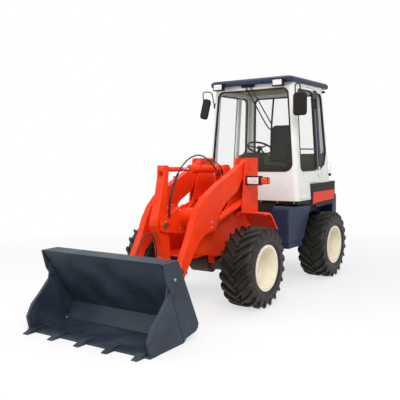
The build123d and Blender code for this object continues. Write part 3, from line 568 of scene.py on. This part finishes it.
# ---------------------------------------------------------------- lamps
LENS_LEVELS = ((-0.010, 1.0), (0.004, 1.0), (0.009, 0.95), (0.011, 0.80))
BEZEL_LEVELS = ((-0.006, 1.0), (0.006, 1.0), (0.008, 0.985))
LENS_CORNER, BEZEL_CORNER = 0.010, 0.014


def lamp(name, body, material, places, width, height, out, bezel=0.010):
    """Lens and raised bezel on the face of each lamp."""
    glass_bm, rim_bm = bmesh.new(), bmesh.new()
    for place in places:
        spot = facing(place, out)
        add_pad(rim_bm, round_rectangle(width, height, BEZEL_CORNER), BEZEL_LEVELS, spot)
        add_pad(glass_bm, round_rectangle(width - 2 * bezel, height - 2 * bezel, LENS_CORNER), LENS_LEVELS, spot)
    piece_from(name + "_lens", glass_bm, material, body, sharp=50)
    piece_from(name + "_bezel", rim_bm, PLASTIC, body, sharp=50)


def both_sides(x, y, z):
    return [at(x, y, z), at(-x, y, z)]


FRONT = (0, -1, 0)
lamp("headlamp", "front", LENS, both_sides(0.4975, 0.330, 1.420), 0.183, 0.108, FRONT, 0.012)
lamp("indicator", "front", AMBER, both_sides(0.641, 0.345, 1.420), 0.097, 0.080, FRONT, 0.004)
bm = bmesh.new()
for side in (1, -1):
    add_pad(bm, round_rectangle(0.053, 0.078, 0.010), ((-0.004, 1.0), (0.002, 1.0), (0.004, 0.94)),
            facing(at(side * 0.690, 0.3725, 1.420), (side, 0, 0)))
piece_from("indicator_sides", bm, AMBER, "front", sharp=50)
lamp("work_lamp", "rear", LENS, both_sides(0.450, 1.0680, 2.650), 0.150, 0.090, FRONT, 0.009)
lamp("tail_lamp", "rear", RED, both_sides(0.585, 2.622, 1.240), 0.082, 0.092, (0, 1, 0), 0.006)

# ---------------------------------------------------------------- mirrors
MIRRORS = (
    # side, middle of the head, width, height, lean inwards, bends of the arm
    (1, (0.806, 0.975, 2.350), 0.182, 0.284, 0.0,
     ((0.612, 1.262, 2.470), (0.660, 1.180, 2.480), (0.735, 0.990, 2.500), (0.740, 0.975, 2.600),
      (0.800, 0.975, 2.605), (0.812, 0.975, 2.560), (0.812, 0.975, 2.470))),
    (-1, (0.712, 1.150, 2.372), 0.128, 0.284, 15.0,
     ((0.612, 1.262, 2.420), (0.618, 1.215, 2.440), (0.608, 1.180, 2.590), (0.660, 1.160, 2.612),
      (0.742, 1.150, 2.612), (0.752, 1.150, 2.560), (0.742, 1.150, 2.470))),
)
HEAD_LEVELS = ((-0.014, 0.96), (-0.010, 1.0), (0.004, 1.0), (0.012, 0.93), (0.014, 0.80))
HEAD_CORNER, FACE_CORNER, FACE_RIM = 0.042, 0.036, 0.018
heads, clamps, faces = bmesh.new(), bmesh.new(), bmesh.new()
for side, (x, y, z), width, height, tilt, bends in MIRRORS:
    place = facing(at(side * x, y, z), FRONT) @ Matrix.Rotation(math.radians(side * tilt), 4, "Z")
    add_pad(heads, round_rectangle(width, height, HEAD_CORNER), HEAD_LEVELS, place)
    add_pad(faces, round_rectangle(width - FACE_RIM, height - FACE_RIM, FACE_CORNER),
            ((-0.0155, 1.0), (-0.012, 1.0)), place)
    arm = [at(side * x, y, z) for x, y, z in bends]
    add_pad(clamps, round_rectangle(0.034, 0.070, 0.006), ((-0.014, 1.0), (0.022, 1.0), (0.026, 0.85)),
            facing(arm[0], (side, -0.4, 0)))
    tube("mirror_arm_" + ("left" if side > 0 else "right"), arm, 0.015, PLASTIC, "rear")
mirror_heads = piece_from("mirror_heads", heads, PLASTIC, "rear", sharp=40)
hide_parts("mirrors")
piece_from("mirror_glass", faces, CHROME, "rear")
piece_from("mirror_clamps", clamps, PLASTIC, "rear")

# ---------------------------------------------------------------- sleeve on the boom hose's front end
path = paths["boom_hose"]
covered = [path[0].lerp(path[1], 0.15)] + path[1:4] + [path[3].lerp(path[4], 0.5)]
tube("boom_hose_sleeve", covered, 0.026, HOSE, "boom")

# ---------------------------------------------------------------- tilt rod's painted eye
ROD_EYE, ROD_BASE = at(0, -0.766, 1.579), at(0, 0.435, 1.556)
bm = bmesh.new()
add_pad(bm, disc(0.0432, 36), ((-0.0236, 0.95), (-0.0216, 1.0), (0.0216, 1.0), (0.0236, 0.95)),
        facing(ROD_EYE, (1, 0, 0)))
add_pad(bm, disc(0.0270, 36), ((0.036, 1.0), (0.343, 1.0), (0.352, 0.86)), facing(ROD_EYE, ROD_BASE - ROD_EYE))
piece_from("tilt_rod_eye", bm, ORANGE, "tilt_rod_body", sharp=40)

# ---------------------------------------------------------------- cab trim
CAB_HALF_LOW, CAB_HALF_HIGH, CAB_FLOOR, CAB_TOP = 0.700, 0.596, 1.120, 2.680


def skin(z):
    """Half width of the cab at a height: its sides lean in."""
    return CAB_HALF_LOW + (CAB_HALF_HIGH - CAB_HALF_LOW) * (z - CAB_FLOOR) / (CAB_TOP - CAB_FLOOR)


def side_plate(name, outline, proud, thick, material, body, side=1):
    """Thin plate that stands proud of the cab's leaning side, from an outline of (y, z) points."""
    bm = bmesh.new()
    rings = []
    for out in (proud - thick, proud - 0.001, proud):
        rings.append([at(side * (skin(z) + out), y, z) for y, z in outline])
    add_rings(bm, rings)
    return piece_from(name, bm, material, body, sharp=30)


def side_seal(name, points, proud, side=1):
    """Rubber strip along (y, z) points on the leaning side of the cab."""
    return tube(name, [at(side * (skin(z) + proud), y, z) for y, z in points], 0.012, SEAL, "rear")


side_plate("door_rear_stile", ((1.836, 1.500), (1.862, 1.500), (1.862, 2.590), (1.836, 2.590)), 0.005, 0.007,
           TRIM, "door")
side_plate("door_rear_edge", ((1.862, 1.490), (1.8795, 1.490), (1.8795, 2.600), (1.862, 2.600)), 0.003, 0.005,
           NAVY, "door")
side_plate("left_pillar", ((1.896, 1.500), (1.958, 1.535), (1.958, 2.575), (1.896, 2.598)), 0.0135, 0.016,
           NAVY, "rear")
# hinges: the lower pair is white, the upper pair black, each a sleeve on the door between two on the pillar
HINGE_Y, HINGE_OUT, HINGE_RADIUS, CHAMFER = 1.8825, 0.015, 0.0128, 0.0005
for number, middle in enumerate((1.480, 2.420)):
    for part, body, low, high in (("door", "door", -0.030, 0.030), ("low", "rear", -0.070, -0.035),
                                  ("high", "rear", 0.035, 0.070)):
        ends = [at(skin(middle + z) + HINGE_OUT, HINGE_Y, middle + z) for z in (low, high)]
        levels = ((-CHAMFER, 0.94), (CHAMFER, 1.0), (high - low - CHAMFER, 1.0), (high - low + CHAMFER, 0.94))
        paint, slot = (PLASTIC, "black_trim") if number else (WHITE, "white_paint")
        pad_piece("hinge_sleeve_%s_%d" % (part, number), disc(HINGE_RADIUS, 24), levels,
                  facing(ends[0], ends[1] - ends[0], (1, 0, 0)), paint, body)
side_plate("hinge_leaf", ((1.848, 2.384), (1.878, 2.384), (1.878, 2.456), (1.848, 2.456)), 0.0135, 0.006,
           PLASTIC, "door")
CORNER = ((1.948, 1.555), (2.108, 1.620), (2.168, 1.752), (2.163, 1.800), (2.130, 1.768), (2.080, 1.742),
          (2.010, 1.724), (1.948, 1.715))
for hand, side in (("left", 1), ("right", -1)):
    side_plate("corner_panel_" + hand, CORNER, -0.006, 0.004, NAVY, "rear", side)
side_plate("right_pillar", ((1.850, 1.512), (1.928, 1.540), (1.928, 2.568), (1.850, 2.568)), 0.001, 0.038,
           WHITE, "rear", -1)
for name, y in (("right_pillar_seal_front", 1.850), ("right_pillar_seal_rear", 1.928)):
    side_seal(name, ((y, 1.525), (y, 1.9), (y, 2.3), (y, 2.565)), 0.0, -1)
side_seal("left_seal_low",
          ((1.892, 1.495), (1.925, 1.510), (1.975, 1.538), (2.040, 1.566), (2.105, 1.592)), 0.006)
side_seal("left_seal_high", ((1.892, 2.602), (1.925, 2.600), (1.970, 2.586)), 0.006)

pad_piece("headliner", round_rectangle(1.080, 0.870, 0.05), ((0.0, 0.99), (0.003, 1.0), (0.010, 1.0)),
          Matrix.Translation(at(0, 1.720, 2.622)), LINING, "rear")
pad_piece("rear_inner_trim", round_rectangle(1.200, 0.400, 0.05), ((0.0, 1.0), (0.024, 1.0), (0.036, 0.975)),
          facing(at(0, 2.240, 1.535), FRONT), TRIM, "rear")

# the bar and latch inside the door glass, and the grab handle and latch plate at the rear corner
bar = [at(0.612, y, 1.797) for y in (1.335, 1.45, 1.60, 1.75, 1.835)]
tube("door_bar", bar, 0.018, PLASTIC, "door")
pad_piece("door_latch", round_rectangle(0.045, 0.085, 0.010), ((-0.020, 1.0), (0.012, 1.0), (0.018, 0.85)),
          facing(at(0.622, 1.335, 1.805), (1, 0, 0)), PLASTIC, "door")
HANDLE = (
    # height, distance out from the cab's side
    (1.610, -0.004), (1.612, 0.022), (1.590, 0.030), (1.550, 0.030), (1.510, 0.030), (1.490, 0.022),
    (1.488, -0.004),
)
grip = [at(skin(z) + out, 2.262, z) for z, out in HANDLE]
tube("grab_handle", grip, 0.013, WHITE, "rear")
bm = bmesh.new()
add_pad(bm, round_rectangle(0.085, 0.040, 0.008), ((-0.004, 1.0), (0.006, 1.0), (0.009, 0.92)),
        facing(at(skin(1.432), 2.285, 1.432), (1, 0, 0.067)))
add_pad(bm, round_rectangle(0.050, 0.034, 0.014), ((-0.004, 1.0), (0.026, 0.9), (0.034, 0.6)),
        facing(at(skin(2.606), 2.196, 2.606), (1, 0, 0.067)))
piece_from("cab_latches", bm, PLASTIC, "rear")

# ---------------------------------------------------------------- wiper
ARM_A = ((-0.092, 1.187, 2.654), (0.095, 1.168, 2.358), (0.282, 1.146, 2.063), (0.311, 1.146, 2.056))
ARM_B = ((-0.015, 1.187, 2.648), (0.155, 1.168, 2.388), (0.324, 1.149, 2.127))
BLADE = ((0.347, 1.166, 2.452), (0.336, 1.157, 2.283), (0.325, 1.148, 2.114), (0.324, 1.134, 1.787))
for name, points, diameter in (("arm_a", ARM_A, 0.016), ("arm_b", ARM_B, 0.015), ("blade", BLADE, 0.024)):
    tube("wiper_" + name, [at(*point) for point in points], diameter, PLASTIC, "rear")
pad_piece("wiper_motor_cover", round_rectangle(0.190, 0.046, 0.012),
          ((-0.030, 1.0), (0.014, 1.0), (0.020, 0.92)), facing(at(-0.054, 1.200, 2.656), FRONT),
          PLASTIC, "rear")

# ---------------------------------------------------------------- front fenders
# side profile of the fender's sheet, (y, z), with a rounded bend, and the lip folded down along its outer edge
FENDER = ((0.120, 1.060), (0.180, 1.061), (0.232, 1.060), (0.262, 1.053), (0.288, 1.038), (0.312, 1.014),
          (0.340, 0.980), (0.400, 0.911), (0.452, 0.851))
FENDER_END = (0.466, 0.835)         # where the sheet would go on, for the direction of its last section
FENDER_IN, FENDER_OUT, SHEET, LIP = 0.404, 0.765, 0.006, 0.024
# one section across the sheet, (x, drop below the profile): top, rounded edge, lip, underside
ACROSS = ((FENDER_IN, 0.0), (FENDER_OUT - 0.006, 0.0), (FENDER_OUT - 0.002, 0.002), (FENDER_OUT, 0.006),
          (FENDER_OUT, LIP), (FENDER_OUT - SHEET, LIP), (FENDER_OUT - SHEET, SHEET + 0.001),
          (FENDER_IN, SHEET + 0.001))
bm = bmesh.new()
for side in (1, -1):
    rings = []
    for (y, z), (y_next, z_next) in zip(FENDER, FENDER[1:] + (FENDER_END,)):
        run = Vector((y_next - y, z_next - z)).normalized()
        down = Vector((run.y, -run.x))
        rings.append([at(side * x, y + down.x * drop, z + down.y * drop) for x, drop in ACROSS])
    add_rings(bm, rings)
    bracket = [(0.130, 1.054), (0.245, 1.054), (0.245, 1.012), (0.130, 1.012)]
    add_rings(bm, [[at(side * x, y, z) for y, z in bracket] for x in (0.400, 0.415)])
fenders = piece_from("fender_sheets", bm, ORANGE, "front", sharp=40)
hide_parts("front_fenders")

# ---------------------------------------------------------------- fasteners
BOLTS = {
    # body: (points, direction out, size, material, slot); those that face left are repeated on the right
    "rear": ([at(x, 1.160, 1.098) for x in (-0.642, -0.399, -0.154, 0.154, 0.399, 0.642)],
             FRONT, 0.011, STEEL, "pin_steel"),
    "boom": ([at(0.363, y, z) for y, z in ((-0.36, 0.985), (-0.36, 0.925), (0.420, 1.600), (0.480, 1.560))],
             (1, 0, 0), 0.012, STEEL, "pin_steel"),
    "front": ([at(0.395, y, z) for y, z in ((0.420, 1.640), (0.560, 1.640), (0.560, 1.060), (0.300, 1.060),
                                            (0.560, 1.350))],
              (1, 0, 0), 0.012, ORANGE, "orange_paint"),
    "bucket": ([at(0.793, -1.641, 0.621)], (1, 0, 0), 0.012, STEEL, "pin_steel"),
}
for body, (points, out, size, material, slot) in BOLTS.items():
    bm = bmesh.new()
    for point in points:
        add_bolt(bm, point, out, size)
        if out[0]:
            add_bolt(bm, Vector((-point.x, point.y, point.z)), (-1, 0, 0), size)
    piece_from("bolts_" + body, bm, material, body)
BRACKET_X = 0.077
bm = bmesh.new()
for side in (1, -1):
    for y, z in ((-0.822, 1.015), (-0.823, 0.961), (-0.560, 1.120), (-0.560, 0.920)):
        add_bolt(bm, at(side * BRACKET_X, y, z), (side, 0, 0))
piece_from("bracket_bolts", bm, STEEL, "boom")

# ---------------------------------------------------------------- stage and light
FLOOR_LIFT, FADE_START, FADE_END, SKY_LIGHT = 0.66, 3.2, 7.0, 0.55


def seen_directly(add, link):
    """One for rays from the camera, in reflections and through glass; zero for the light on the object."""
    rays = add("ShaderNodeLightPath")
    seen = rays.outputs["Is Camera Ray"]
    for kind in ("Is Transmission Ray", "Is Glossy Ray"):
        either = add("ShaderNodeMath", operation="MAXIMUM")
        link(seen, either.inputs[0])
        link(rays.outputs[kind], either.inputs[1])
        seen = either.outputs["Value"]
    return seen


def stage_floor():
    """Pale floor that keeps the shadow and fades to plain white away from the object."""
    bm = bmesh.new()
    bmesh.ops.create_grid(bm, x_segments=2, y_segments=2, size=60.0)
    floor = put_in_scene("floor", mesh_from("floor", bm, closed=False))
    material, add, link, shader = graph("pale_floor")
    shader.inputs["Base Color"].default_value = rgb((0.80, 0.80, 0.80))
    shader.inputs["Roughness"].default_value = 0.95
    shader.inputs["Specular IOR Level"].default_value = 0.0
    reach = add("ShaderNodeVectorMath", operation="LENGTH")
    link(add("ShaderNodeTexCoord").outputs["Object"], reach.inputs[0])
    fade = span(add, link, reach.outputs["Value"], FADE_START, FADE_END, FLOOR_LIFT, 1.0)
    seen = seen_directly(add, link)
    white = add("ShaderNodeEmission")
    link(seen, white.inputs["Strength"])
    pick = add("ShaderNodeMixShader")
    link(times(add, link, fade, seen), pick.inputs["Fac"])
    link(shader.outputs["BSDF"], pick.inputs[1])
    link(white.outputs["Emission"], pick.inputs[2])
    link(pick.outputs["Shader"], material.node_tree.nodes["Material Output"].inputs["Surface"])
    floor.data.materials.append(material)


def white_world():
    """White where it is seen, dimmer as light on the object."""
    world = bpy.data.worlds.new("studio")
    scene.world = world
    world.use_nodes = True
    world.node_tree.nodes.clear()
    add, link = node_tools(world.node_tree)
    sky = add("ShaderNodeBackground", Color=(1, 1, 1, 1))
    link(span(add, link, seen_directly(add, link), 0.0, 1.0, SKY_LIGHT, 1.0), sky.inputs["Strength"])
    link(sky.outputs["Background"], add("ShaderNodeOutputWorld").inputs["Surface"])


def area_light(name, place, aim, size, power):
    panel = bpy.data.lights.new(name, "AREA")
    panel.shape = "RECTANGLE"
    panel.size, panel.size_y = size
    panel.energy = power
    light = put_in_scene(name, panel)
    light.location = place
    light.rotation_euler = (Vector(aim) - Vector(place)).to_track_quat("-Z", "Y").to_euler()


stage_floor()
white_world()
area_light("key", (4.5, -5.5, 6.0), (0, 0, 1.0), (4.0, 3.0), 420)
area_light("fill", (-5.0, -4.5, 4.0), (0, 0, 1.0), (4.0, 4.0), 130)
area_light("top", (0, 1.0, 7.0), (0, 0, 1.0), (6.0, 6.0), 200)

bpy.context.view_layer.update()
